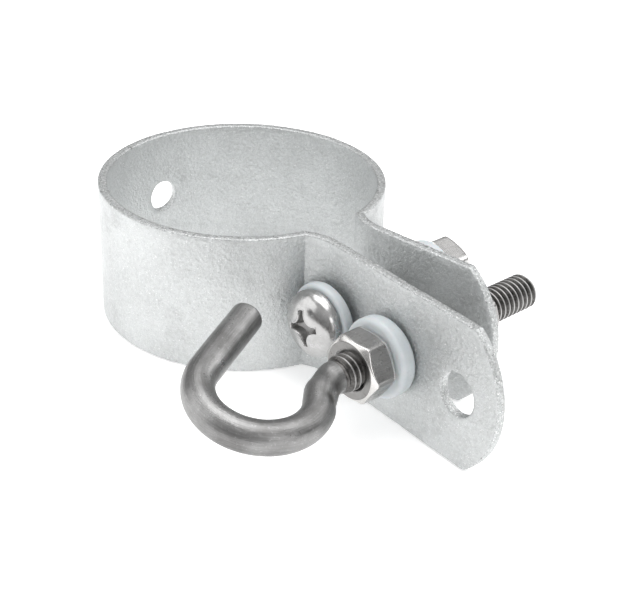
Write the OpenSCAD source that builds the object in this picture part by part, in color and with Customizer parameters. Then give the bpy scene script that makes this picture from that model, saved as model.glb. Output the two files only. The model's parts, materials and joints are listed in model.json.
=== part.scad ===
// Strip clamp for a round tube, with an open hook bolt standing across its two ears.
// Millimetres. The tube runs along Z through the origin, the ears point along +X,
// the screw and the hook bolt lie along Y, and the clamp's lower edge is z = 0.

/* [Ring] */
// Outside diameter of the tube that the ring goes round
tube_d = 60.3; // [48:0.1:76]
// Thickness of the steel strip
strip_t = 2; // [1.5:0.1:3]
// Width of the strip, which is the height of the clamp
strip_w = 31.5; // [28:0.5:40]
// Hole through the ring, opposite the ears
ring_hole_d = 7.3; // [5:0.1:9]

/* [Ears] */
// Angle by which each ear leans out from the middle plane
ear_splay = 4.75; // [3:0.25:7]
// Front ear's inner face to the middle plane, measured at the ring's axis
front_gap = 2.1; // [1:0.1:4]
// Back ear's inner face to the middle plane, measured at the ring's axis
back_gap = 1.4; // [1:0.1:4]
// Front ear's tip, from the ring's axis
front_reach = 88; // [84:0.5:100]
// Back ear's tip, from the ring's axis
back_reach = 70.4; // [68:0.5:80]
// Radius of an ear's rounded end
ear_end_r = 19.8; // [17:0.1:30]
// Radius of the curve by which an ear leaves the ring
root_r = 12; // [10:0.5:16]
// Centre of the spare hole near the front ear's tip, from the ring's axis
spare_hole_at = 76.9; // [74:0.1:84]
// Diameter of the holes in the ears
ear_hole_d = 9; // [8.8:0.1:10]

/* [Fasteners] */
// Outside diameter of the screw threads
thread_d = 7.84; // [7.7:0.01:8]
// Distance from one thread to the next
pitch = 1.411; // [1.2:0.001:1.5]
// Height of the screw and the hook bolt above the clamp's lower edge
bolt_z = 15.4; // [14:0.1:17]
// Clamp screw, from the ring's axis along the ears
screw_x = 38.9; // [38:0.1:41]
// Length of the clamp screw under its head
screw_len = 40; // [40:1:50]
// Diameter of the clamp screw's head
head_d = 14.6; // [13:0.1:16]
// Height of the clamp screw's head
head_h = 4.8; // [4.5:0.1:6]
// Outside diameter of the washers on the clamp screw
screw_washer_d = 16.4; // [15:0.1:18]
// Thickness of the washers on the clamp screw
screw_washer_t = 2.6; // [2:0.1:3]
// Outside diameter of the washer in front of the hook bolt's front nut
hook_washer_d = 17; // [15:0.1:17.4]
// Thickness of that washer
hook_washer_t = 3.8; // [2:0.1:4]
// Outside diameter of the hook bolt's back washer
back_washer_d = 16; // [15:0.1:18]
// Thickness of that washer
back_washer_t = 1.6; // [1:0.1:2]
// Width across the flats of the hexagon nuts
nut_af = 13; // [12:0.1:13]
// Height of the hexagon nuts
nut_h = 6.5; // [5:0.1:7]

/* [Hook] */
// Hook bolt, from the ring's axis along the ears
hook_x = 56.8; // [56:0.1:60]
// Diameter of the hook's round bar
bar_d = 6.78; // [6:0.01:7.2]
// Back end of the hook bolt, behind the middle plane
hook_back = 32.6; // [30:0.1:40]
// Length of straight bar in front of the middle plane
hook_front = 23.8; // [23:0.1:30]
// Middle radius of the bend at the hook's neck
neck_r = 8; // [6:0.5:12]
// Angle of the bend at the neck
neck_turn = 44; // [35:1:60]
// Straight bar between the neck and the loop
neck_len = 3.2; // [1:0.1:6]
// Middle radius of the loop
loop_r = 11.55; // [9:0.05:14]
// Angle through which the loop turns
loop_turn = 198; // [180:1:215]
// Straight bar from the loop to the hook's point
point_len = 19.5; // [12:0.5:24]
// Rise of the hook's open side above level
hook_tilt = 12.6; // [0:0.1:30]

/* [Hidden] */

$fn = 96;
// Overlap by which two lengths of one bar run into each other
lap = 0.05;
// How far one of two such lengths stands proud of the other, so that their faces cross cleanly
sleeve = 0.02;
// Air between a thread and the part that runs on it
thread_play = 0.05;
bore_d = thread_d + 2 * thread_play;
zinc = [0.75, 0.77, 0.78];
steel = [0.55, 0.55, 0.56];
bright = [0.8, 0.79, 0.78];
nylon = [0.85, 0.88, 0.9];

// Where an ear becomes straight, from the ring's axis
root_at = 38;
// How far the root's two curves pass the straight faces, so that they cross cleanly
root_bite = 0.02;

// Air between a washer and the head or nut that it lies under
seat_play = 0.02;
// Where the washers lie along the two bolts, from the middle plane; the front ones are negative
screw_seat = -9.1;
hook_seat = -9.7;
hook_back_seat = 8.9;
// The clamp nut is only started on the end of the screw
clamp_nut_back = screw_seat - screw_washer_t - seat_play + screw_len;
clamp_nut_seat = clamp_nut_back - nut_h - seat_play - screw_washer_t;

// Middle line of an ear, as its distance from a parallel line through the ring's axis
function ear_offset(gap) = gap * cos(ear_splay) + strip_t / 2;

// Distance along an ear at which a bolt parallel to Y crosses it
function ear_station(x, gap) = (x + ear_offset(gap) * sin(ear_splay)) / cos(ear_splay);

// Area on the inner side of one face of an ear, at a distance `half` from the ear's middle line;
// half is negative for the inner face, and the area reaches `below` past the ring's axis
module behind_face(gap, reach, half, below) {
    start = 25;
    rise = 3.5;
    y = ear_offset(gap);
    translate([start, -below]) square([reach - start, y + half + below]);
    difference() {
        translate([start, -below]) square([root_at - 0.3 - start, y + half + rise + below]);
        translate([root_at, y + root_r]) circle(r = root_r - half + root_bite, $fn = 180);
    }
}

// Puts the children on the back ear, and on the front ear with front = true
module on_ear(front) {
    mirror([0, front ? 1 : 0, 0]) rotate([0, 0, ear_splay]) children();
}

// Waste beyond the rounded end of an ear
module ear_end_waste(gap, reach) {
    y = ear_offset(gap);
    end_at = reach - ear_end_r;
    difference() {
        translate([end_at, y - 1.5 * strip_t, -1]) cube([ear_end_r + 1, 3 * strip_t, strip_w + 2]);
        translate([end_at, y - 2 * strip_t, strip_w / 2]) rotate([-90, 0, 0])
            cylinder(r = ear_end_r, h = 4 * strip_t, $fn = 180);
    }
}

// Hole through an ear at a distance along it
module ear_hole(at, z) {
    translate([at, -5, z]) rotate([-90, 0, 0]) cylinder(d = ear_hole_d, h = 20);
}

// One strip: the ring, both ears and their holes
module clamp_band() {
    half = strip_t / 2;
    ring_r = tube_d / 2;
    color(zinc) difference() {
        linear_extrude(strip_w) difference() {
            union() {
                circle(r = ring_r + strip_t, $fn = 180);
                on_ear(false) behind_face(back_gap, back_reach, half, 0);
                on_ear(true) behind_face(front_gap, front_reach, half, 0);
            }
            circle(r = ring_r, $fn = 180);
            on_ear(false) behind_face(back_gap, back_reach + 1, -half, 3);
            on_ear(true) behind_face(front_gap, front_reach + 1, -half, 3);
        }
        on_ear(false) ear_end_waste(back_gap, back_reach);
        on_ear(true) ear_end_waste(front_gap, front_reach);
        for (x = [screw_x, hook_x]) {
            on_ear(false) ear_hole(ear_station(x, back_gap), bolt_z);
            on_ear(true) ear_hole(ear_station(x, front_gap), bolt_z);
        }
        on_ear(true) ear_hole(spare_hole_at, strip_w / 2);
        translate([-ring_r - half, 0, strip_w / 2]) rotate([0, 90, 0])
            cylinder(d = ring_hole_d, h = 4 * strip_t, center = true);
    }
}

// Puts a shape that stands on z = 0 along a bolt: its base at y, growing to the back
module on_bolt(x, y) {
    translate([x, y, bolt_z]) rotate([-90, 0, 0]) children();
}

// The same, growing to the front
module to_front(x, y) {
    translate([x, y, bolt_z]) rotate([90, 0, 0]) children();
}

// Round bar with V grooves one pitch apart and a bevelled far end
module threaded_bar(len) {
    r = thread_d / 2;
    deep = 0.54 * pitch;
    turns = floor(len / pitch) - 1;
    grooves = [for (i = [0:turns - 1], p = [[0.1, 0], [0.45, deep], [0.6, deep], [0.95, 0]])
               [r - p[1], (i + p[0]) * pitch]];
    rotate_extrude()
        polygon(concat([[0, 0], [r, 0]], grooves,
                       [[r, len - deep], [r - deep, len], [0, len]]));
}

// Flat ring with rounded edges
module washer(d, t) {
    edge = min(0.7, t / 3);
    rotate_extrude() {
        translate([bore_d / 2, 0]) square([d / 2 - edge - bore_d / 2, t]);
        translate([bore_d / 2, edge]) square([(d - bore_d) / 2, t - 2 * edge]);
        for (z = [edge, t - edge]) translate([d / 2 - edge, z]) circle(r = edge, $fn = 24);
    }
}

// Hexagon nut with both ends bevelled
module hex_nut(turn) {
    corner = nut_af / sqrt(3);
    flat = nut_af / 2 * 0.97;
    wide = corner + 0.5;
    bevel = (wide - flat) * tan(30);
    difference() {
        intersection() {
            rotate([0, 0, turn]) cylinder(r = corner, h = nut_h, $fn = 6);
            rotate_extrude() polygon([[0, 0], [flat, 0], [wide, bevel], [wide, nut_h - bevel],
                                      [flat, nut_h], [0, nut_h]]);
        }
        translate([0, 0, -1]) cylinder(d = bore_d, h = nut_h + 2);
    }
}

// Domed round head with a cross recess, and the threaded bar under it
module clamp_screw() {
    dome_r = (head_d * head_d / 4 + head_h * head_h) / (2 * head_h) + 0.6;
    rim_h = 1.2;
    slot = 1.5;
    slot_reach = 3.6;
    slot_deep = 2.6;
    seat = screw_seat - screw_washer_t - seat_play;
    color(bright) {
        to_front(screw_x, seat) difference() {
            union() {
                cylinder(d = head_d, h = rim_h);
                intersection() {
                    cylinder(d = head_d, h = head_h);
                    translate([0, 0, head_h - dome_r]) sphere(r = dome_r);
                }
            }
            for (a = [0, 90]) rotate([0, 0, a + 20])
                translate([-slot_reach, -slot / 2, head_h - slot_deep])
                    cube([2 * slot_reach, slot, slot_deep + 1]);
        }
        on_bolt(screw_x, seat - lap) threaded_bar(screw_len);
    }
}

module screw_washer() {
    color(nylon) to_front(screw_x, screw_seat) washer(screw_washer_d, screw_washer_t);
}

module clamp_nut_washer() {
    color(nylon) on_bolt(screw_x, clamp_nut_seat) washer(screw_washer_d, screw_washer_t);
}

module clamp_nut() {
    color(bright) on_bolt(screw_x, clamp_nut_back - nut_h) hex_nut(-40);
}

// Round bar bent through an angle: it starts at the origin along X and turns to the left
module bent_bar(r, turn) {
    translate([0, r, 0]) rotate([0, 0, -90]) rotate_extrude(angle = turn)
        translate([r, 0]) circle(d = bar_d);
}

// Round bar along X that takes in the ends of the bends at both sides
module straight_bar(len) {
    translate([-lap, 0, 0]) rotate([0, 90, 0]) cylinder(d = bar_d + 2 * sleeve, h = len + 2 * lap);
}

// The hook's free end, along X, with its edge taken off
module point_bar(len, edge) {
    r = bar_d / 2 + sleeve;
    rotate([0, 90, 0]) rotate_extrude()
        polygon([[0, -lap], [r, -lap], [r, len - edge], [r - edge, len], [0, len]]);
}

// Runs the children on from the end of a bend of radius r to the left
module after_bend(r, turn) {
    translate([r * sin(turn), r * (1 - cos(turn)), 0]) rotate([0, 0, turn]) children();
}

// The hook in its own plane: X runs out along the bolt, Y towards the hook's open side
module hook_path() {
    translate([hook_front - pitch, 0, 0]) straight_bar(pitch);
    translate([hook_front, 0, 0]) mirror([0, 1, 0]) {
        bent_bar(neck_r, neck_turn);
        after_bend(neck_r, neck_turn) {
            straight_bar(neck_len);
            translate([neck_len, 0, 0]) mirror([0, 1, 0]) {
                bent_bar(loop_r, loop_turn);
                after_bend(loop_r, loop_turn) point_bar(point_len, 0.5);
            }
        }
    }
}

module hook_bolt() {
    color(steel) union() {
        translate([hook_x, 0, bolt_z]) rotate([0, hook_tilt, 0]) rotate([180, 0, -90]) hook_path();
        on_bolt(hook_x, -hook_front) threaded_bar(hook_front + hook_back);
    }
}

module hook_front_washer() {
    color(nylon) to_front(hook_x, hook_seat) washer(hook_washer_d, hook_washer_t);
}

module hook_front_nut() {
    color(bright) to_front(hook_x, hook_seat - hook_washer_t - seat_play) hex_nut(56);
}

module hook_back_washer() {
    color(zinc) on_bolt(hook_x, hook_back_seat) washer(back_washer_d, back_washer_t);
}

module hook_back_nut() {
    color(bright) on_bolt(hook_x, hook_back_seat + back_washer_t + seat_play) hex_nut(20);
}

clamp_band();
clamp_screw();
screw_washer();
clamp_nut_washer();
clamp_nut();
hook_bolt();
hook_front_washer();
hook_front_nut();
hook_back_washer();
hook_back_nut();
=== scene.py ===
"""Looks of the strip clamp with an open hook bolt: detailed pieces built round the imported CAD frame.

Shapes are worked out in millimetres in the part's own frame and turned into metres when a mesh is made.
"""
import json
import math

import bmesh
import bpy
from mathutils import Matrix, Vector, geometry, noise


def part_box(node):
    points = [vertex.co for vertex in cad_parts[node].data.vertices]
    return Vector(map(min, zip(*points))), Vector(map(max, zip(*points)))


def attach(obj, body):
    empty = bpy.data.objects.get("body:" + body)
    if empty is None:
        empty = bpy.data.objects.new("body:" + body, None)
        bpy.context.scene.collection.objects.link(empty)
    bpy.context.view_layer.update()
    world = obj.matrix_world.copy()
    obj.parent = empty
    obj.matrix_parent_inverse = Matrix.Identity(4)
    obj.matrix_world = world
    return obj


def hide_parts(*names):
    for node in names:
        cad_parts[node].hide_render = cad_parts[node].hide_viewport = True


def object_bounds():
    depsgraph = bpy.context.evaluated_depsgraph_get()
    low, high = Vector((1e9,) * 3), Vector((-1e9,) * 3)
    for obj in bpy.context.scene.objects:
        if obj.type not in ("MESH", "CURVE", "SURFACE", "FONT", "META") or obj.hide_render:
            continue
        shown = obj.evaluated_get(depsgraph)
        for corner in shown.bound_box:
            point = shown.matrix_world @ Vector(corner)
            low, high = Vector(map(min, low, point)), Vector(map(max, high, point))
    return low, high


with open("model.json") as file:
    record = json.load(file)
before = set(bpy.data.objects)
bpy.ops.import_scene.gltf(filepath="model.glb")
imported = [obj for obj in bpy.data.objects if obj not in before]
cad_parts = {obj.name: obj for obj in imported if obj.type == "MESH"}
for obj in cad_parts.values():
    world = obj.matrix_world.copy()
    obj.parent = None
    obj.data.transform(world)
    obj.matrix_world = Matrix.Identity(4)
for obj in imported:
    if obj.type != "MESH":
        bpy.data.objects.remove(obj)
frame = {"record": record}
cad_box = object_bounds()

MM = 0.001
TAU = 2 * math.pi

# ---------------------------------------------------------------- driving sizes, in mm
SCREW_X, HOOK_X, BOLT_Z = 38.9, 56.8, 15.4
# The strip: the tube it grips, the ears' lean, and each ear's gap to the middle plane, tip and spare hole
TUBE_D = 60.3
STRIP_T = 2.0
RING_MID_R = (TUBE_D + STRIP_T) / 2
RING_HOLE_R = 3.65
SPLAY = math.radians(4.75)
FRONT = {"gap": 2.1, "reach": 88.0, "spare": 76.9}
BACK = {"gap": 1.4, "reach": 70.4, "spare": None}
EAR_END_R = 19.8
EAR_HOLE_R = 4.5
# The ear leaves the ring by a sharp crease, then a wide curve that ends at ROOT_AT
ROOT_AT = 38.0
ROOT_R = 12.0
CREASE_R = 1.08
# Threads, and the shallow dish in the end of a bolt
THREAD_R = 3.92
THREAD_DEEP = 0.78
CORE_R = THREAD_R - THREAD_DEEP
PITCH = 1.411
END_DISH = 0.12
# The hook: its bar, how far the thread reaches in front, the neck's bend, the loop and the straight point
BAR_R = 3.39
HOOK_FRONT = 23.8
NECK_R = 8.0
NECK_TURN = math.radians(44)
NECK_LEN = 3.2
LOOP_R = 11.55
LOOP_TURN = math.radians(198)
POINT_LEN = 19.5
HOOK_TILT = math.radians(12.6)
DIE_LINE = math.radians(122)
# The screw's cross recess, and the nuts' width, bevels, countersinks and eased corners
CROSS_REACH, CROSS_HALF, CROSS_DEEP, CROSS_FILLET = 3.95, 0.82, 2.3, 2.6
CROSS_SPIN = math.radians(14)
NUT_AF = 13.0
BEVEL_R = NUT_AF / 2 * 0.93
NUT_BORE_R, SINK_R = THREAD_R + 0.06, THREAD_R + 0.62
NUT_EASE = 0.16
# Directions across a bolt, as (x, z)
ACROSS, UP = (1.0, 0.0), (0.0, 1.0)

# ---------------------------------------------------------------- how finely the strip is built, in mm
EDGE_R = 0.38
EDGE_STEP = 0.45
COARSE = 1.3
POINTS_ACROSS = 26
HOLE_SIDES = {RING_HOLE_R: 64, EAR_HOLE_R: 72}
# A hole's edge is this share as rough as the strip's own
HOLE_DAMAGE = 0.2


def box_mm(node):
    """Lowest and highest corners of a CAD node, in mm."""
    low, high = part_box(node)
    return Vector(low) / MM, Vector(high) / MM


def bolt_axis(node):
    """Where a round piece's axis crosses the XZ plane, in mm."""
    low, high = box_mm(node)
    return (low.x + high.x) / 2, (low.z + high.z) / 2


def smooth(a, b, x):
    """Smooth step from 0 at a to 1 at b."""
    t = min(1.0, max(0.0, (x - a) / (b - a)))
    return t * t * (3 - 2 * t)


def bump(x, centre, width):
    """Bell curve of height 1."""
    return math.exp(-(((x - centre) / width) ** 2))


def wobble(x, y, z, size):
    """Smooth noise from -1 to 1 whose features are about `size` long."""
    return noise.noise(Vector((x, y, z)) / size)


# ---------------------------------------------------------------- meshes
def quads(rows, columns, first=0, shift=0):
    """Faces over rows of points that close on themselves, where the seam steps up by `shift` rows."""
    faces = []
    for j in range(rows - 1):
        for i in range(columns):
            right, up = (0, shift) if i == columns - 1 else (i + 1, 0)
            if j + 1 + up < rows:
                corners = ((j, i), (j + up, right), (j + 1 + up, right), (j + 1, i))
                faces.append([first + row * columns + column for row, column in corners])
    return faces


class Shell:
    """Points of a mesh with their lengthwise coordinates, and its faces with their material numbers."""

    def __init__(self):
        self.points, self.flow, self.faces, self.kinds = [], [], [], []

    def point(self, where, lane):
        """Adds a point in mm, with its lengthwise coordinates."""
        self.points.append(where)
        self.flow.append(lane)

    def grid(self, rows, columns, first, kind, shift=0):
        """Adds the faces of a grid; the kind is a material number, or a function that picks one by face."""
        faces = quads(rows, columns, first, shift)
        self.faces += faces
        self.kinds += [kind(face) if callable(kind) else kind for face in faces]

    def fan(self, first, columns, kind):
        """Closes a ring of points with a fan round the last point."""
        centre = len(self.points) - 1
        self.faces += [[centre, first + i, first + (i + 1) % columns] for i in range(columns)]
        self.kinds += [kind] * columns


def make_piece(shell, name, body, nodes, materials):
    """A smooth mesh object from a shell, riding on a body in place of CAD nodes."""
    mesh = bpy.data.meshes.new(name)
    mesh.from_pydata([Vector(p) * MM for p in shell.points], [], shell.faces)
    for material in materials:
        mesh.materials.append(material)
    mesh.polygons.foreach_set("material_index", shell.kinds)
    lane = mesh.attributes.new("flow", "FLOAT_VECTOR", "POINT")
    lane.data.foreach_set("vector", [c for v in shell.flow for c in v])
    work = bmesh.new()
    work.from_mesh(mesh)
    bmesh.ops.remove_doubles(work, verts=work.verts, dist=2e-6)
    bmesh.ops.dissolve_degenerate(work, edges=work.edges, dist=1e-6)
    bmesh.ops.recalc_face_normals(work, faces=work.faces)
    work.to_mesh(mesh)
    work.free()
    mesh.shade_smooth()
    piece = bpy.data.objects.new(name, mesh)
    bpy.context.scene.collection.objects.link(piece)
    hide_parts(*nodes)
    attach(piece, body)


# ---------------------------------------------------------------- curves made of arcs
def march(start, heading, legs):
    """Starts of the legs of a path of arcs, as (distance, x, y, heading, curvature), and the path's length.
    A leg is (length, curvature)."""
    stops, (x, y), at = [], start, 0.0
    for length, curve in legs:
        stops.append((at, x, y, heading, curve))
        (x, y), heading = run_on(x, y, heading, curve, length)
        at += length
    return stops, at


def run_on(x, y, heading, curve, length):
    """Point and heading after a length along an arc."""
    if abs(curve) < 1e-9:
        return (x + length * math.cos(heading), y + length * math.sin(heading)), heading
    end = heading + curve * length
    return (x + (math.sin(end) - math.sin(heading)) / curve,
            y - (math.cos(end) - math.cos(heading)) / curve), end


def along(stops, s):
    """Point and heading at a distance along a path."""
    leg = stops[0]
    for stop in stops:
        if s >= stop[0]:
            leg = stop
    return run_on(leg[1], leg[2], leg[3], leg[4], s - leg[0])


# ---------------------------------------------------------------- node materials
class Nodes:
    """Small helper that builds one node tree."""

    def __init__(self, name):
        self.material = bpy.data.materials.new(name)
        self.material.use_nodes = True
        self.tree = self.material.node_tree
        self.shader = self.tree.nodes["Principled BSDF"]

    def add(self, kind, inputs=None, **settings):
        """Adds a node; an input is a socket to link or a value to set."""
        node = self.tree.nodes.new(kind)
        for key, value in settings.items():
            setattr(node, key, value)
        for key, value in (inputs or {}).items():
            if isinstance(value, bpy.types.NodeSocket):
                self.tree.links.new(value, node.inputs[key])
            else:
                node.inputs[key].default_value = value
        return node

    def vector(self, operation, a, b=(0, 0, 0)):
        node = self.add("ShaderNodeVectorMath", {0: a, 1: b}, operation=operation)
        return node.outputs["Value" if operation == "LENGTH" else "Vector"]

    def place(self):
        """Position on the object in mm."""
        return self.vector("MULTIPLY", self.add("ShaderNodeTexCoord").outputs["Object"], (1 / MM,) * 3)

    def flow(self, stretch=(1, 1, 1)):
        """The piece's own lengthwise coordinates in mm, stretched."""
        lane = self.add("ShaderNodeAttribute", attribute_name="flow").outputs["Vector"]
        return self.vector("MULTIPLY", lane, stretch)

    def noise(self, where, scale, detail=3.0, rough=0.55):
        return self.add("ShaderNodeTexNoise", {"Vector": where, "Scale": scale, "Detail": detail,
                                               "Roughness": rough}).outputs["Fac"]

    def ramp(self, value, low, high, to_low=0.0, to_high=1.0):
        """Maps a value from one range to another, held at its ends."""
        return self.add("ShaderNodeMapRange", {"Value": value, "From Min": low, "From Max": high,
                                               "To Min": to_low, "To Max": to_high}).outputs[0]

    def maths(self, operation, a, b=0.0, c=0.0):
        return self.add("ShaderNodeMath", {0: a, 1: b, 2: c}, operation=operation).outputs[0]

    def mix(self, amount, a, b):
        """Colour a at amount 0 and b at amount 1."""
        node = self.add("ShaderNodeMix", data_type="RGBA")
        for socket, value in ((node.inputs[0], amount), (node.inputs[6], a), (node.inputs[7], b)):
            if isinstance(value, bpy.types.NodeSocket):
                self.tree.links.new(value, socket)
            else:
                socket.default_value = value
        return node.outputs[2]

    def finish(self, colour, rough, height=None, lift=0.02, **constants):
        """Sets the shader up: colour, roughness, a relief that stands `lift` mm high, and constants."""
        for key, value in (("Base Color", colour), ("Roughness", rough)):
            if isinstance(value, bpy.types.NodeSocket):
                self.tree.links.new(value, self.shader.inputs[key])
            else:
                self.shader.inputs[key].default_value = value
        if height is not None:
            relief = self.add("ShaderNodeBump", {"Height": height, "Strength": 1.0, "Distance": lift * MM})
            self.tree.links.new(relief.outputs[0], self.shader.inputs["Normal"])
        for key, value in constants.items():
            self.shader.inputs[key.replace("_", " ")].default_value = value
        return self.material


def grey(value, warm=0.0):
    """A nearly neutral colour; a positive warm is redder and a negative one bluer."""
    return (value * (1 + warm), value, value * (1 - warm), 1)


def zinc(value):
    """Zinc's grey, a little short of red."""
    return (value * 0.977, value, value, 1)


def zinc_face():
    """Rolled galvanised sheet: fine orange-peel grain, faint clouds, tiny painted glints, rubbed smudges,
    and a patch of painted shade on the ears beside the hook washer, mottled by the smudge noise."""
    n = Nodes("zinc_sheet")
    where = n.place()
    clouds = n.noise(where, 0.06, 3.0, 0.5)
    smudge = n.noise(where, 0.13, 7.0, 0.68)
    peel = n.noise(where, 1.35, 2.0, 0.55)
    grain = n.noise(where, 3.4, 2.0, 0.7)
    # Tiny near-white specks are painted glints on the sheet.
    painted_glint = n.ramp(n.noise(where, 3.1, 1.5, 0.6), 0.64, 0.72)
    rolled = n.noise(n.flow((0.05, 1.0, 1.0)), 1.6, 3.0, 0.6)
    colour = n.mix(n.ramp(clouds, 0.35, 0.65), zinc(0.56), zinc(0.66))
    colour = n.mix(n.ramp(smudge, 0.53, 0.68, 0.0, 0.42), colour, zinc(0.42))
    # Painted shade on the ears beside the hook washer: a darker patch that fades out from 3 to 12 mm off a
    # point right of the washer, mottled by the smudge noise.
    around = n.vector("SUBTRACT", where, (HOOK_X + 9.0, 0.0, BOLT_Z + 2.0))
    far = n.vector("LENGTH", n.vector("MULTIPLY", around, (1, 0, 1)))
    washer_shade = n.maths("MULTIPLY", n.ramp(far, 3.0, 12.0, 0.6, 0.0), n.ramp(smudge, 0.4, 0.6))
    colour = n.mix(washer_shade, colour, zinc(0.36))
    colour = n.mix(n.ramp(peel, 0.35, 0.65, 0.0, 0.42), colour, zinc(0.76))
    colour = n.mix(n.ramp(grain, 0.52, 0.68, 0.0, 0.38), colour, zinc(0.38))
    # Paints the glints in near white.
    colour = n.mix(n.maths("MULTIPLY", painted_glint, 0.7), colour, grey(0.97))
    rough = n.maths("ADD", n.ramp(smudge, 0.3, 0.7, 0.40, 0.52), n.ramp(rolled, 0.3, 0.7, -0.04, 0.04))
    height = n.maths("ADD", peel, n.maths("MULTIPLY", grain, 0.35))
    return n.finish(colour, rough, height, 0.24, Metallic=0.7)


def zinc_edge():
    """Sheared and dipped edge: painted glints in a grey skin, and a few dark nicks."""
    n = Nodes("zinc_sheared_edge")
    where = n.place()
    grain = n.noise(where, 1.9, 3.0, 0.75)
    # Bright specks along the edge are painted glints.
    edge_glint = n.noise(where, 3.0, 1.0, 0.5)
    nick = n.ramp(n.noise(where, 0.62, 4.0, 0.7), 0.62, 0.7)
    colour = n.mix(n.ramp(grain, 0.4, 0.62), zinc(0.42), zinc(0.66))
    colour = n.mix(n.ramp(edge_glint, 0.61, 0.7), colour, grey(0.9))
    colour = n.mix(n.maths("MULTIPLY", nick, 0.8), colour, grey(0.13, 0.02))
    height = n.maths("ADD", grain, n.maths("MULTIPLY", edge_glint, 0.7))
    return n.finish(colour, n.ramp(grain, 0.3, 0.7, 0.25, 0.5), height, 0.2, Metallic=0.9)


def drawn_steel():
    """Drawn and bent bar: long fine lines, duller patches, a thin dark die line along one side."""
    n = Nodes("drawn_steel")
    lane = n.flow()
    lines = n.noise(n.flow((0.06, 1.0, 1.0)), 3.4, 4.0, 0.65)
    patch = n.noise(lane, 0.16, 4.0, 0.6)
    fine = n.noise(lane, 2.2, 3.0, 0.6)
    colour = n.mix(n.ramp(patch, 0.35, 0.68), grey(0.17, 0.016), grey(0.29, 0.006))
    colour = n.mix(n.ramp(lines, 0.42, 0.7, 0.0, 0.28), colour, grey(0.43, 0.0))
    colour = n.mix(n.ramp(fine, 0.6, 0.72, 0.0, 0.4), colour, grey(0.52))
    split = n.add("ShaderNodeSeparateXYZ", {0: lane})
    out, down = math.cos(DIE_LINE), math.sin(DIE_LINE)
    side = n.maths("ABSOLUTE", n.maths("MULTIPLY_ADD", split.outputs[1], down,
                                       n.maths("MULTIPLY", split.outputs[2], -out)))
    facing = n.maths("GREATER_THAN", n.maths("MULTIPLY_ADD", split.outputs[1], out,
                                             n.maths("MULTIPLY", split.outputs[2], down)), 0.0)
    broken = n.ramp(n.noise(n.flow((0.2, 1, 1)), 0.9, 2.0, 0.5), 0.4, 0.55)
    line = n.maths("MULTIPLY", n.maths("MULTIPLY", n.ramp(side, 0.05, 0.16, 1.0, 0.0), facing), broken)
    colour = n.mix(n.maths("MULTIPLY", line, 0.6), colour, grey(0.12))
    rough = n.maths("ADD", n.ramp(patch, 0.3, 0.7, 0.40, 0.27), n.ramp(fine, 0.3, 0.7, -0.04, 0.05))
    height = n.maths("SUBTRACT", n.maths("ADD", lines, n.maths("MULTIPLY", fine, 0.7)), line)
    return n.finish(colour, rough, height, 0.06, Metallic=1.0)


def thread_steel():
    """Rolled thread: flanks painted dark as shade, mottled by wear, under crests painted bright as a
    highlight.
    """
    n = Nodes("thread_steel")
    split = n.add("ShaderNodeSeparateXYZ", {0: n.flow()})
    radius = n.maths("SQRT", n.maths("ADD", n.maths("MULTIPLY", split.outputs[1], split.outputs[1]),
                                     n.maths("MULTIPLY", split.outputs[2], split.outputs[2])))
    # The crests are painted lighter as a highlight, and the flanks darker as shade.
    lit_crest = n.ramp(radius, THREAD_R - 0.13, THREAD_R - 0.03)
    worn = n.noise(n.place(), 1.3, 4.0, 0.65)
    colour = n.mix(n.ramp(worn, 0.35, 0.7), grey(0.07, 0.04), grey(0.17, 0.03))
    colour = n.mix(lit_crest, colour, grey(0.42, 0.01))
    return n.finish(colour, n.ramp(worn, 0.3, 0.7, 0.25, 0.42), worn, 0.03, Metallic=1.0)


def nut_flat(name, painted_light_gain):
    """Ground flats of a nut: fine lines and a few stains. A gain above 1 paints the colours lighter, a lit
    copy standing in for light.
    """
    n = Nodes(name)
    where = n.place()
    lines = n.noise(n.vector("MULTIPLY", where, (1.0, 0.07, 1.0)), 4.0, 4.0, 0.6)
    stain = n.noise(where, 0.35, 5.0, 0.6)
    # The gain lightens these colours as painted light.
    colour = n.mix(n.ramp(lines, 0.35, 0.7), grey(0.30 * painted_light_gain, 0.014), grey(0.37 * painted_light_gain, 0.01))
    colour = n.mix(n.ramp(stain, 0.52, 0.7, 0.0, 0.4), colour, grey(0.22 * painted_light_gain, 0.02))
    return n.finish(colour, n.ramp(stain, 0.3, 0.7, 0.3, 0.22), lines, 0.008, Metallic=1.0)


def nut_bevel_highlight():
    """Turned bevels of a nut: painted brighter than the flats as a highlight, with faint turning marks."""
    n = Nodes("nut_bevels_lit")
    where = n.place()
    marks = n.noise(where, 3.6, 3.0, 0.6)
    haze = n.noise(where, 0.5, 3.0, 0.5)
    # The bevels are painted brighter than the flats, as a highlight.
    colour = n.mix(n.ramp(marks, 0.35, 0.7), grey(0.62, 0.025), grey(0.74, 0.02))
    return n.finish(colour, n.ramp(haze, 0.3, 0.7, 0.16, 0.28), marks, 0.012, Metallic=1.0)


def nut_face_shaded():
    """Turned end face of a nut: satin grey with fine rings and a warm cast, painted darker than the flats as
    shade.
    """
    n = Nodes("nut_face_shaded")
    where = n.place()
    marks = n.noise(where, 2.6, 4.0, 0.6)
    haze = n.noise(where, 0.4, 4.0, 0.6)
    # The end face is painted darker, as shade.
    colour = n.mix(n.ramp(haze, 0.35, 0.7), grey(0.22, 0.025), grey(0.29, 0.02))
    return n.finish(colour, n.ramp(haze, 0.3, 0.7, 0.24, 0.36), marks, 0.008, Metallic=1.0)


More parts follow.
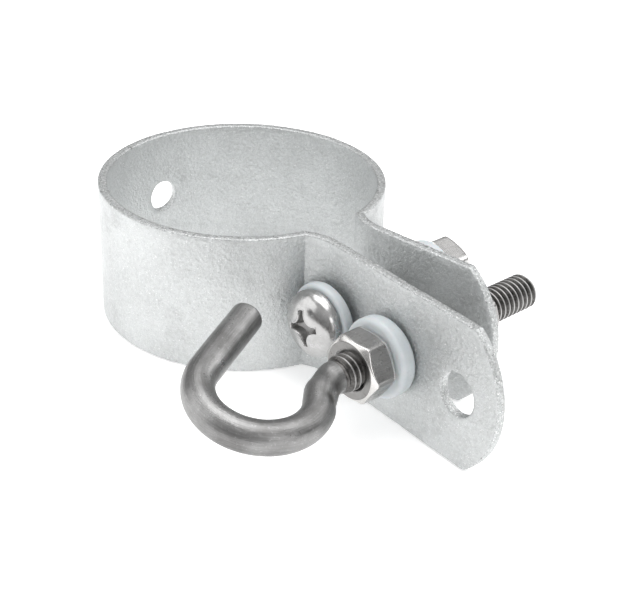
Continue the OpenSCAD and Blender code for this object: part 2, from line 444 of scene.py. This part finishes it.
def bright_screw():
    """Polished head: nearly mirror bright, with soft haze and hairlines."""
    n = Nodes("polished_screw")
    where = n.place()
    haze = n.noise(where, 0.6, 4.0, 0.6)
    hair = n.noise(n.vector("MULTIPLY", where, (0.2, 1.0, 1.4)), 5.0, 2.0, 0.5)
    colour = n.mix(n.ramp(haze, 0.35, 0.7), grey(0.44, 0.008), grey(0.55, 0.004))
    return n.finish(colour, n.ramp(haze, 0.3, 0.7, 0.17, 0.3), hair, 0.008, Metallic=1.0)


def recess_steel_shaded():
    """Punched cross recess: matt, with tool marks, painted darker than the head as shade in the recess."""
    n = Nodes("screw_recess")
    where = n.place()
    marks = n.noise(where, 2.5, 4.0, 0.7)
    # The recess is painted darker than the head, as shade.
    colour = n.mix(marks, grey(0.22, 0.01), grey(0.5, 0.01))
    return n.finish(colour, n.ramp(marks, 0.3, 0.7, 0.3, 0.5), marks, 0.06, Metallic=1.0)


def milky_nylon():
    """Natural nylon: milky, slightly blue and see-through, with a faint moulded skin."""
    n = Nodes("milky_nylon")
    where = n.place()
    milk = n.noise(where, 0.28, 3.0, 0.5)
    skin = n.noise(where, 2.2, 3.0, 0.5)
    colour = n.mix(n.ramp(milk, 0.3, 0.7), (0.55, 0.59, 0.61, 1), (0.62, 0.66, 0.68, 1))
    return n.finish(colour, n.ramp(skin, 0.3, 0.7, 0.26, 0.38), skin, 0.02,
                    Subsurface_Weight=0.15, Subsurface_Scale=0.0015, Specular_IOR_Level=0.5)


def plated_washer():
    """Zinc-plated pressed washer: clear grey with a slight mottle."""
    n = Nodes("plated_washer")
    where = n.place()
    mottle = n.noise(where, 1.2, 4.0, 0.6)
    colour = n.mix(mottle, grey(0.5, -0.01), grey(0.72, -0.01))
    return n.finish(colour, n.ramp(mottle, 0.3, 0.7, 0.28, 0.42), mottle, 0.03, Metallic=1.0)


def floor_paper():
    """Pale backdrop paper with a barely visible tooth."""
    n = Nodes("backdrop_paper")
    tooth = n.noise(n.place(), 0.4, 3.0, 0.5)
    colour = n.mix(tooth, grey(0.93), grey(0.95))
    n.shader.inputs["Emission Color"].default_value = (1, 1, 1, 1)
    return n.finish(colour, 0.9, Specular_IOR_Level=0.1, Emission_Strength=0.42)


# ---------------------------------------------------------------- the strip
def ear_path(ear):
    """Middle line of the back half of the strip for one ear's sizes: from opposite the ears,
    round the ring, through the crease and the root, to the ear's tip."""
    side = ear["gap"] * math.cos(SPLAY) + STRIP_T / 2
    root = Vector((ROOT_AT, side + ROOT_R))
    reach, spread = RING_MID_R + CREASE_R, ROOT_R - CREASE_R
    bend = math.acos((reach ** 2 + root.length ** 2 - spread ** 2) / (2 * reach * root.length))
    crease = math.atan2(root.y, root.x) - bend
    knee = Vector((math.cos(crease), math.sin(crease))) * reach
    down = crease - math.pi / 2
    leave = math.atan2(knee.y - root.y, knee.x - root.x) + math.pi / 2
    straight = ear["reach"] - ROOT_AT
    legs = [(RING_MID_R * (math.pi - crease - SPLAY), -1 / RING_MID_R),
            ((leave - down) * CREASE_R, 1 / CREASE_R),
            (-leave * ROOT_R, 1 / ROOT_R),
            (straight, 0.0)]
    stops, length = march((-RING_MID_R, 0.0), math.pi / 2, legs)
    return {**ear, "stops": stops, "length": length, "root": length - straight, "side": side}


def hole_station(path, x):
    """Distance along the strip of the hole for a bolt at x."""
    return path["root"] - ROOT_AT + (x + path["side"] * math.sin(SPLAY)) / math.cos(SPLAY)


def circle(s, z, r, count):
    """Points of a hole in the flat strip, clockwise."""
    turns = [TAU * i / count for i in reversed(range(count))]
    return [(s + r * math.cos(a), z + r * math.sin(a)) for a in turns]


def strip_outline(paths, middle, half, step):
    """Outer edge of the flat strip, counter-clockwise, with a point about every `step`."""
    swing = math.asin(half / EAR_END_R)
    chord = EAR_END_R * (1 - math.cos(swing))
    corners = []
    for side in (1, -1):
        centre = side * (paths[side]["length"] - EAR_END_R)
        count = int(2 * swing * EAR_END_R / step)
        for i in range(count + 1):
            a = -swing + 2 * swing * i / count
            corners.append((centre + side * EAR_END_R * math.cos(a),
                            middle + side * EAR_END_R * math.sin(a)))
        near = side * (paths[side]["length"] - chord)
        far = -side * (paths[-side]["length"] - chord)
        count = int(abs(far - near) / step)
        corners += [(near + (far - near) * i / count, middle + side * half) for i in range(1, count)]
    return corners


def inward_of(loop):
    """Direction into the strip at each point of a loop that keeps the strip on its left."""
    towards = []
    for i in range(len(loop)):
        run = (Vector(loop[(i + 1) % len(loop)]) - Vector(loop[i - 1])).normalized()
        towards.append(Vector((-run.y, run.x)))
    return towards


def build_band(body):
    low, high = box_mm("clamp_band")
    half_w, middle, half_t = (high.z - low.z) / 2, (high.z + low.z) / 2, STRIP_T / 2
    bolt_z = bolt_axis("hook_front_washer")[1]
    paths = {1: ear_path(BACK), -1: ear_path(FRONT)}
    shell = Shell()

    def add_point(s, z, n, swell=0.0):
        """Adds a point of the bent strip, from distance along it, height, and distance out of its middle."""
        (x, y), heading = along(paths[1 if s >= 0 else -1]["stops"], abs(s))
        x -= (n + swell) * math.sin(heading)
        y += (n + swell) * math.cos(heading)
        shell.point((x, y if s >= 0 else -y, z), (s, z, n))

    centres = [(0.0, middle, RING_HOLE_R)]
    for side, path in paths.items():
        centres += [(side * hole_station(path, x), bolt_z, EAR_HOLE_R) for x in (SCREW_X, HOOK_X)]
        if path["spare"]:
            centres.append((side * (path["root"] - ROOT_AT + path["spare"]), middle, EAR_HOLE_R))
    loops = [strip_outline(paths, middle, half_w, EDGE_STEP)]
    loops += [circle(s, z, r, HOLE_SIDES[r]) for s, z, r in centres]

    # Rounded and roughened section of the sheared edge: (inset, height out of the middle)
    section = [(EDGE_R, half_t), (0.2, half_t - 0.05), (0.07, half_t - 0.17), (0.0, half_t - 0.4),
               (0.0, 0.1), (0.03, -0.3), (0.02, -half_t + 0.42), (0.09, -half_t + 0.18),
               (0.22, -half_t + 0.05), (EDGE_R, -half_t)]
    flat, edges, rims = [], [], []
    for loop in loops:
        count, first, start = len(loop), len(shell.points), len(flat)
        damage = 1.0 if loop is loops[0] else HOLE_DAMAGE
        inward = inward_of(loop)
        for inset, n in section:
            worn = 0.0 if abs(n) == half_t else damage
            for (s, z), into in zip(loop, inward):
                rough = wobble(s, z, n * 2.5, 0.8) * 0.05 + wobble(s, z + 40, n, 3.5) * 0.04
                dent = max(0.0, wobble(s + 9, z, n * 0.6, 1.3) - 0.42) * 0.35
                push = inset + (max(0.0, rough + 0.04) + dent) * worn
                spot = Vector((s, z)) + into * push
                add_point(spot.x, spot.y, n)
                if n == half_t:
                    flat.append(spot)
        shell.grid(len(section), count, first, 1)
        edges += [(start + i, start + (i + 1) % count) for i in range(count)]
        rims += [(first + i, first + (len(section) - 1) * count + i) for i in range(count)]

    def clear_of_edges(s, z, margin):
        """Whether a flat point lies in the strip, at least a margin from its edges."""
        end = paths[1 if s >= 0 else -1]["length"] - EAR_END_R
        if abs(z - middle) > half_w - margin:
            return False
        if abs(s) > end and math.hypot(abs(s) - end, z - middle) > EAR_END_R - margin:
            return False
        return all(math.hypot(s - c[0], z - c[1]) > c[2] + margin for c in centres)

    # Rows of points across the strip, closest together where it bends most
    for side, path in paths.items():
        crease = path["stops"][1][0] + 1.0
        s = 0.0 if side == 1 else COARSE
        while s < path["length"]:
            for k in range(POINTS_ACROSS):
                z = low.z + 2 * half_w * (k + 0.5) / POINTS_ACROSS
                if clear_of_edges(side * s, z, EDGE_R + 0.35):
                    flat.append(Vector((side * s, z)))
            near = abs(s - crease)
            s += 0.3 if near < 2.2 else (0.7 if near < 12 else COARSE)
    verts, _, tris, sources, _, _ = geometry.delaunay_2d_cdt(flat, edges, [], 1, 1e-6, True)
    skins = {}
    for level, n in enumerate((half_t, -half_t)):
        for i, (v, source) in enumerate(zip(verts, sources)):
            if source and source[0] < len(rims):
                skins[i, level] = rims[source[0]][level]
            else:
                skins[i, level] = len(shell.points)
                add_point(v.x, v.y, n, min(0.0, 0.03 * wobble(v.x, v.y, n, 14.0)))
    for tri in tris:
        s, z = (sum(verts[i].x for i in tri) / 3, sum(verts[i].y for i in tri) / 3)
        within = abs(z - middle) < half_w - EDGE_R - 0.002
        if within and all(math.hypot(s - c[0], z - c[1]) > c[2] + EDGE_R for c in centres):
            shell.faces.append([skins[i, 0] for i in tri])
            shell.faces.append([skins[i, 1] for i in reversed(tri)])
            shell.kinds += [0, 0]
    make_piece(shell, "band_strip", body, ["clamp_band"], [zinc_face(), zinc_edge()])


# ---------------------------------------------------------------- threads
# One turn of thread, as (share of the pitch, depth from 0 on the crest to 1 in the root)
THREAD_SHAPE = [(0.0, 0.0), (0.05, 0.03), (0.1, 0.14), (0.24, 0.52), (0.37, 0.9), (0.43, 1.0),
                (0.5, 1.0), (0.56, 0.9), (0.69, 0.52), (0.83, 0.14), (0.88, 0.03), (0.93, 0.0)]


def helix_rows(length, columns, radius):
    """Rows of (angle, along, radius) that follow a right-hand thread; radius(along, depth) sizes it."""
    rows, turn = [], len(THREAD_SHAPE)
    for j in range((int(length / PITCH) + 3) * turn):
        share, deep = THREAD_SHAPE[j % turn]
        base = (j // turn + share - 1) * PITCH
        row = []
        for i in range(columns):
            at = min(length, max(0.0, base + PITCH * i / columns))
            row.append((TAU * i / columns, at, radius(at, deep)))
        rows.append(row)
    return rows


def bolt_point(axis, across, up, radius, angle, y):
    """Point round a bolt axis parallel to Y."""
    return (axis[0] + radius * (across[0] * math.cos(angle) + up[0] * math.sin(angle)), y,
            axis[1] + radius * (across[1] * math.cos(angle) + up[1] * math.sin(angle)))


def add_thread(shell, axis, across, up, start, length, columns, radius, kinds):
    """A bolt's thread along +Y, and the slightly dished end that closes it; kinds are (thread, end)."""
    first = len(shell.points)
    helix = helix_rows(length, columns, radius)
    for row in helix:
        for a, at, r in row:
            lane = (-at, r * math.cos(a), -r * math.sin(a))
            shell.point(bolt_point(axis, across, up, r, -a, start + at), lane)
    shell.grid(len(helix), columns, first, kinds[0], len(THREAD_SHAPE))
    first = len(shell.points)
    shares = (1.0, 0.8, 0.45)
    for share in shares:
        for i in range(columns):
            a, r = TAU * i / columns, CORE_R * share
            end = start + length - END_DISH * (1 - share)
            shell.point(bolt_point(axis, across, up, r, a, end), (-length, r * math.cos(a), r * math.sin(a)))
    shell.grid(len(shares), columns, first, kinds[1])
    shell.point((axis[0], start + length - END_DISH, axis[1]), (-length, 0.0, 0.0))
    shell.fan(first + (len(shares) - 1) * columns, columns, kinds[1])


# ---------------------------------------------------------------- the hook bolt
def build_hook(body):
    axis = bolt_axis("hook_front_washer")
    back = box_mm("hook_bolt")[1].y
    columns = 72
    tilt = (-math.cos(HOOK_TILT), math.sin(HOOK_TILT))
    binormal = (-math.sin(HOOK_TILT), -math.cos(HOOK_TILT))
    legs = [(NECK_R * NECK_TURN, -1 / NECK_R), (NECK_LEN, 0.0),
            (LOOP_R * LOOP_TURN, 1 / LOOP_R), (POINT_LEN, 0.0)]
    stops, length = march((HOOK_FRONT, 0.0), 0.0, legs)
    loop_start, loop_end = stops[2][0], stops[3][0]
    # Marks of the bending tools: (depth, distance, spread, angle round the bar, sharpness)
    dents = ((0.85, 3.2, 1.5, -0.75, 3), (0.6, 8.6, 1.5, -2.6, 4), (-0.02, 6.2, 1.2, 2.6, 2),
             (0.28, 1.0, 0.9, 1.9, 3), (0.05, loop_start + 12, 2.5, -2.2, 2))

    def bar_radius(s, a):
        """Radius of the bar at a distance along the hook, at angle a from the loop's inner side."""
        inner, outer = max(0.0, math.cos(a)), max(0.0, -math.cos(a))
        bent = smooth(loop_start - 1, loop_start + 4, s) * (1 - smooth(loop_end - 4, loop_end + 1, s))
        r = BAR_R * (1 - 0.035 * bent * outer ** 2 - 0.02 * bent * inner ** 2)
        r += 0.02 * bent * math.sin(a) ** 2
        for depth, at, spread, towards, sharp in dents:
            r -= depth * bump(s, at, spread) * max(0.0, math.cos(a - towards)) ** sharp
        groove = bump((a - DIE_LINE + math.pi) % TAU - math.pi, 0.0, 0.035)
        r -= 0.045 * groove * (0.5 + 0.5 * smooth(-0.2, 0.2, wobble(s, 0, 5, 5.0)))
        return r + 0.02 * wobble(s, 3 * math.cos(a), 3 * math.sin(a), 3.2) - 0.01

    def hook_place(s, a, r):
        (out, w), heading = along(stops, s)
        out -= r * math.cos(a) * math.sin(heading)
        w += r * math.cos(a) * math.cos(heading)
        b = r * math.sin(a)
        return (axis[0] + w * tilt[0] + b * binormal[0], -out, axis[1] + w * tilt[1] + b * binormal[1])

    # Rings along the bar: (distance, share of the radius, what the tip's rounding takes off)
    steps, tip_r, tip_steps = int(length / 0.42), 0.55, 6
    rings = [((length - tip_r) * k / (steps - 1), 1.0, 0.0) for k in range(steps)]
    for k in range(1, tip_steps + 1):
        a = math.pi / 2 * k / tip_steps
        rings.append((length - tip_r + tip_r * math.sin(a), 1.0, tip_r * (1 - math.cos(a))))
    rings += [(length, 0.66, tip_r), (length, 0.33, tip_r)]
    shell = Shell()
    for s, share, less in rings:
        for i in range(columns):
            a = TAU * i / columns
            r = (bar_radius(s, a) - less) * share
            shell.point(hook_place(s, a, r), (s, r * math.cos(a), r * math.sin(a)))
    shell.grid(len(rings), columns, 0, 0)
    shell.point(hook_place(length, 0.0, 0.0), (length, 0.0, 0.0))
    shell.fan((len(rings) - 1) * columns, columns, 0)

    thread_len = HOOK_FRONT + back

    def thread_radius(at, deep):
        """Thread that fades into the bar at the neck and is chamfered at the back end."""
        bar = BAR_R - 0.03
        full = bar + (THREAD_R - THREAD_DEEP * deep - bar) * smooth(0.0, 1.7, at)
        return min(full, CORE_R + (thread_len - at))

    add_thread(shell, axis, tilt, binormal, -HOOK_FRONT, thread_len, columns, thread_radius, (1, 0))
    make_piece(shell, "hook_rod", body, ["hook_bolt"], [drawn_steel(), thread_steel()])


# ---------------------------------------------------------------- the clamp screw
def cross_depth(u, v):
    """How far a point of the screw's face lies inside its cross recess, with filleted inner corners."""
    arms = []
    for p, q in ((u, v), (v, u)):
        half = CROSS_HALF - 0.22 * abs(p) / CROSS_REACH
        arms.append(max(abs(q) - half, abs(p) - CROSS_REACH))
    h = max(CROSS_FILLET - abs(arms[0] - arms[1]), 0.0) / CROSS_FILLET
    return h * h * CROSS_FILLET / 4 - min(arms)


def build_screw(body):
    low, high = box_mm("clamp_screw")
    axis = bolt_axis("clamp_screw")
    seat = box_mm("screw_washer")[0].y - 0.02
    head_h, head_r = seat - low.y, (high.x - low.x) / 2
    rim_h, rim_round, rim_steps = 1.1, 0.5, 4
    columns = 192
    shell = Shell()

    def dome(r):
        """Height of the head above its seat at a radius."""
        share = min(1.0, r / (head_r - 0.05))
        return rim_h + (head_h - rim_h) * max(0.0, 1 - share ** 2.5) ** 0.47

    def add_head_point(r, a):
        """Adds a point of the head's face and says how far into the recess it lies."""
        into = cross_depth(r * math.cos(a - CROSS_SPIN), r * math.sin(a - CROSS_SPIN))
        floor = CROSS_DEEP - 0.9 * min(1.0, r / CROSS_REACH)
        lip = 0.05 * bump(into, -0.14, 0.12)
        h = min(head_h, dome(r) - floor * smooth(-0.06, 0.42, into) + lip)
        shell.point(bolt_point(axis, ACROSS, UP, r, a, seat - h), (0.0, r * math.cos(a), r * math.sin(a)))
        return into

    # Rings are close together over the recess and crowd again towards the rim
    radii = [0.09 * k for k in range(1, 62)]
    while radii[-1] < head_r - 0.35:
        radii.append(radii[-1] + 0.16)
    radii = sorted(radii + [head_r - 0.05 - 0.3 * math.exp(-0.8 * k) for k in range(7)])
    inks = [add_head_point(r, TAU * i / columns) for r in radii for i in range(columns)]
    shell.grid(len(radii), columns, 0, lambda face: 1 if inks[face[0]] > 0.12 else 0)
    # Rim and underside, from the dome's edge in to the shank
    skirt = [(head_r - 0.01, rim_h - 0.1), (head_r, rim_h - 0.35), (head_r, rim_round)]
    for k in range(1, rim_steps + 1):
        a = math.pi / 2 * k / rim_steps
        skirt.append((head_r - rim_round * (1 - math.cos(a)), rim_round * (1 - math.sin(a))))
    skirt += [(head_r * 0.75, 0.0), (THREAD_R + 0.1, 0.0), (CORE_R, 0.0)]
    for r, h in skirt:
        for i in range(columns):
            shell.point(bolt_point(axis, ACROSS, UP, r, TAU * i / columns, seat - h), (h, r, 0.0))
    shell.grid(len(skirt) + 1, columns, (len(radii) - 1) * columns, 0)
    add_head_point(0.0, 0.0)
    shell.fan(0, columns, 1)

    thread_len = high.y - seat

    def thread_radius(at, deep):
        """Thread that runs out under the head and is chamfered at its end."""
        full = CORE_R + THREAD_DEEP * (1 - deep) * smooth(0.0, 1.0, at)
        return min(full, CORE_R + (thread_len - at))

    add_thread(shell, axis, ACROSS, UP, seat, thread_len, 64, thread_radius, (2, 0))
    make_piece(shell, "pan_head_screw", body, ["clamp_screw"],
               [bright_screw(), recess_steel_shaded(), thread_steel()])


# ---------------------------------------------------------------- nuts
def nut_profile(height, full):
    """Outline of a nut through an angle where its side is `full` from the axis: (part, radius, height),
    from the countersink's mouth on its outer face round to the one on its seat."""
    def bevel_drop(r):
        return max(0.0, r - BEVEL_R) * math.tan(math.radians(30))

    face = [("face", SINK_R + (BEVEL_R - SINK_R) * k / 6, height - 0.03 * (k / 6) ** 6) for k in range(7)]
    bevel = []
    for k in range(1, 7):
        r = BEVEL_R + (full - BEVEL_R) * k / 6
        bevel.append(("bevel", r, height - 0.03 - bevel_drop(r) - NUT_EASE * (k / 6) ** 5))
    top = height - 0.03 - bevel_drop(full) - NUT_EASE
    side = [("side", full, top + (height - 2 * top) * k / 10) for k in range(1, 10)]
    lower = [(part, r, height - h) for part, r, h in reversed(face + bevel)]
    return face + bevel + side + lower


def build_nut(name, node, body, turn_deg, to_front, flats):
    """Hexagon nut with turned bevels, eased corners, countersinks and a threaded bore."""
    low, high = box_mm(node)
    axis = bolt_axis("hook_front_washer") if "hook" in node else bolt_axis("clamp_screw")
    height = high.y - low.y
    sign, base = (-1, high.y) if to_front else (1, low.y)
    columns = 180
    shell = Shell()

    def add_ring(rings):
        """Adds rings of points; rings(a) lists (radius, height over the seat) at angle a."""
        first = len(shell.points)
        columns_of = [rings(TAU * i / columns) for i in range(columns)]
        for row in zip(*columns_of):
            for i, (r, h) in enumerate(row):
                a = TAU * i / columns
                shell.point(bolt_point(axis, ACROSS, UP, r, a, base + sign * h),
                            (h, r * math.cos(a), r * math.sin(a)))
        return first, len(columns_of[0])

    def hexagon(a):
        """Distance from the axis to the flats, with slightly eased corners."""
        b = (a - math.radians(turn_deg)) % (math.pi / 3) - math.pi / 6
        flat = NUT_AF / 2 / math.cos(b)
        corner = NUT_AF / math.sqrt(3)
        return flat - 0.20 * bump(abs(b), math.pi / 6, 0.035) * (flat / corner)

    def outside(a):
        spots = []
        for _, r, h in nut_profile(height, hexagon(a)):
            r += 0.008 * wobble(r * math.cos(a), r * math.sin(a), h, 2.0) - 0.008
            spots.append((r, h))
        return spots

    parts = [part for part, _, _ in nut_profile(height, BEVEL_R + 1)]
    # Bevels take the painted highlight, and end faces the painted shade.
    looks = {"bevel": 0, "side": 1, "face": 3}
    first, count = add_ring(outside)
    shell.grid(count, columns, first, lambda face: looks[parts[face[2] // columns]])
    # Countersinks down to the bore, and the thread between them
    sink = (SINK_R - NUT_BORE_R) * 0.8
    for mouth, towards in ((height, -1), (0.0, 1)):
        spots = [(SINK_R + (NUT_BORE_R - SINK_R) * share, mouth + towards * sink * max(0.0, share - 0.06))
                 for share in (0.0, 0.12, 0.5, 1.0)]
        first, count = add_ring(lambda a: spots)
        shell.grid(count, columns, first, 2)
    length = height - 1.88 * sink

    def bore_radius(at, deep):
        return NUT_BORE_R + 0.3 * (1 - deep) * smooth(0, 0.5, at) * smooth(0, 0.5, length - at)

    first = len(shell.points)
    helix = helix_rows(length, columns, bore_radius)
    for row in helix:
        for a, at, r in row:
            shell.point(bolt_point(axis, ACROSS, UP, r, -sign * a, base + sign * (0.94 * sink + at)),
                        (at, r * math.cos(a), r * math.sin(a)))
    shell.grid(len(helix), columns, first, 2, len(THREAD_SHAPE))
    make_piece(shell, name, body, [node], [nut_bevel_highlight(), flats, thread_steel(), nut_face_shaded()])


# ---------------------------------------------------------------- washers
def build_washer(name, node, body, material, rounding):
    """Ring turned round its bolt, with rounded edges and a slightly uneven skin."""
    low, high = box_mm(node)
    axis = bolt_axis(node)
    thick = high.y - low.y
    outer, inner = (high.x - low.x) / 2, THREAD_R + 0.12
    outer_e, inner_e = rounding, rounding * 0.5
    columns, arc_steps, face_steps = 144, 6, 8
    arc = [math.pi / 2 * k / arc_steps for k in range(arc_steps + 1)]
    outward = [(outer - outer_e * (1 - math.cos(a)), outer_e * (1 - math.sin(a))) for a in reversed(arc)]
    inward = [(inner + inner_e * (1 - math.cos(a)), inner_e * (1 - math.sin(a))) for a in arc]
    span = outer - outer_e - inner - inner_e
    steps = [span * k / face_steps for k in range(1, face_steps)]
    profile = outward + [(r, thick - y) for r, y in reversed(outward)]
    profile += [(outer - outer_e - step, thick) for step in steps]
    profile += [(r, thick - y) for r, y in reversed(inward)] + inward
    profile += [(inner + inner_e + step, 0.0) for step in steps]
    shell = Shell()
    for r, y in profile:
        for i in range(columns):
            a = TAU * i / columns
            skin = 0.02 * wobble(r * math.cos(a), y, r * math.sin(a), 3.0) - 0.02
            round_r = r + (skin if r > outer - outer_e else 0)
            shell.point(bolt_point(axis, ACROSS, UP, round_r, a, low.y + y),
                        (y, r * math.cos(a), r * math.sin(a)))
    shell.grid(len(profile), columns, 0, 0)
    last = (len(profile) - 1) * columns
    shell.faces += [[last + i, last + (i + 1) % columns, (i + 1) % columns, i] for i in range(columns)]
    shell.kinds += [0] * columns
    make_piece(shell, name, body, [node], [material])


bodies = {node: body for body, nodes in frame["record"]["behaviour"]["bodies"].items() for node in nodes}
nylon = milky_nylon()
build_band(bodies["clamp_band"])
build_hook(bodies["hook_bolt"])
build_screw(bodies["clamp_screw"])
plain_flats = nut_flat("nut_flats", 1.0)
build_nut("hook_nut_front", "hook_front_nut", bodies["hook_front_nut"], 56, True, plain_flats)
build_nut("hook_nut_back", "hook_back_nut", bodies["hook_back_nut"], -20, False, plain_flats)
# The clamp nut gets a lit copy of the flats, painted lighter by 1.9 as painted light.
build_nut("screw_nut", "clamp_nut", bodies["clamp_nut"], 40, False, nut_flat("lit_nut_flats", 1.9))
for piece_name, node_name, edge in (("hook_washer_nylon", "hook_front_washer", 1.1),
                                    ("screw_washer_nylon", "screw_washer", 0.8),
                                    ("nut_washer_nylon", "clamp_nut_washer", 0.8)):
    build_washer(piece_name, node_name, bodies[node_name], nylon, edge)
build_washer("hook_washer_zinc", "hook_back_washer", bodies["hook_back_washer"], plated_washer(),
             0.3)


# ---------------------------------------------------------------- floor, light and camera, in metres
PART_MIDDLE = (0.03, 0.0, 0.015)


def build_floor():
    """Round sheet of paper a hair below the part, in rings that widen outwards."""
    mesh = bpy.data.meshes.new("floor")
    rings, sides, start, widening = 6, 64, 0.02, 3
    corners = [(0.0, 0.0, 0.0)]
    for k in range(1, rings + 1):
        reach = start * widening ** k
        turns = [TAU * i / sides for i in range(sides)]
        corners += [(reach * math.cos(a), reach * math.sin(a), 0.0) for a in turns]
    faces = [[0, 1 + i, 1 + (i + 1) % sides] for i in range(sides)] + quads(rings, sides, 1)
    mesh.from_pydata(corners, [], faces)
    mesh.materials.append(floor_paper())
    floor = bpy.data.objects.new("floor", mesh)
    floor.location.z = cad_box[0][2] - 0.0002
    bpy.context.scene.collection.objects.link(floor)


def soft_light(name, place, size, power):
    """Rectangular studio light that faces the part."""
    light = bpy.data.lights.new(name, "AREA")
    light.shape = "RECTANGLE"
    light.size, light.size_y = size
    light.energy = power
    lamp = bpy.data.objects.new(name, light)
    lamp.location = place
    lamp.rotation_euler = (Vector(PART_MIDDLE) - Vector(place)).to_track_quat("-Z", "Y").to_euler()
    bpy.context.scene.collection.objects.link(lamp)


def build_world(strength):
    """Even pale studio air, a little darker towards the ground."""
    world = bpy.data.worlds.new("studio")
    world.use_nodes = True
    tree = world.node_tree
    where = tree.nodes.new("ShaderNodeTexCoord")
    split = tree.nodes.new("ShaderNodeSeparateXYZ")
    ramp = tree.nodes.new("ShaderNodeValToRGB")
    tree.links.new(where.outputs["Generated"], split.inputs[0])
    tree.links.new(split.outputs[2], ramp.inputs[0])
    stops = ramp.color_ramp.elements
    stops[0].position, stops[0].color = 0.0, (0.30, 0.30, 0.30, 1)
    stops[1].position, stops[1].color = 0.75, (1, 1, 1, 1)
    middle = stops.new(0.25)
    middle.color = (0.52, 0.52, 0.52, 1)
    tree.links.new(ramp.outputs[0], tree.nodes["Background"].inputs[0])
    tree.nodes["Background"].inputs[1].default_value = strength
    bpy.context.scene.world = world


def build_camera():
    """Long lens from the front right, looking down."""
    heading, pitch, roll = math.radians(46.55), math.radians(28.647), math.radians(2.2057)
    flat = math.cos(pitch)
    forward = Vector((-math.sin(heading) * flat, math.cos(heading) * flat, -math.sin(pitch)))
    right = forward.cross(Vector((0, 0, 1))).normalized()
    upward = right.cross(forward)
    right, upward = (right * math.cos(roll) + upward * math.sin(roll),
                     upward * math.cos(roll) - right * math.sin(roll))
    data = bpy.data.cameras.new("camera")
    data.lens, data.sensor_width, data.sensor_fit = 76.38, 36.0, "HORIZONTAL"
    data.clip_start = 0.01
    camera = bpy.data.objects.new("camera", data)
    turn = Matrix((right, upward, -forward)).transposed().to_4x4()
    camera.matrix_world = Matrix.Translation(Vector((215.48, -178.88, 154.55)) * MM) @ turn
    bpy.context.scene.collection.objects.link(camera)
    bpy.context.scene.camera = camera


build_floor()
build_world(0.66)
soft_light("top_box", (0.0, 0.1, 0.9), (1.0, 0.8), 5.5)
soft_light("left_box", (-0.66, -0.88, 0.5), (1.1, 1.1), 4.5)
soft_light("right_box", (0.9, -0.1, 0.35), (0.35, 0.5), 1.2)
soft_light("back_box", (0.35, 0.9, 0.6), (0.8, 0.6), 3.0)
build_camera()
bpy.context.scene.view_settings.view_transform = "Standard"
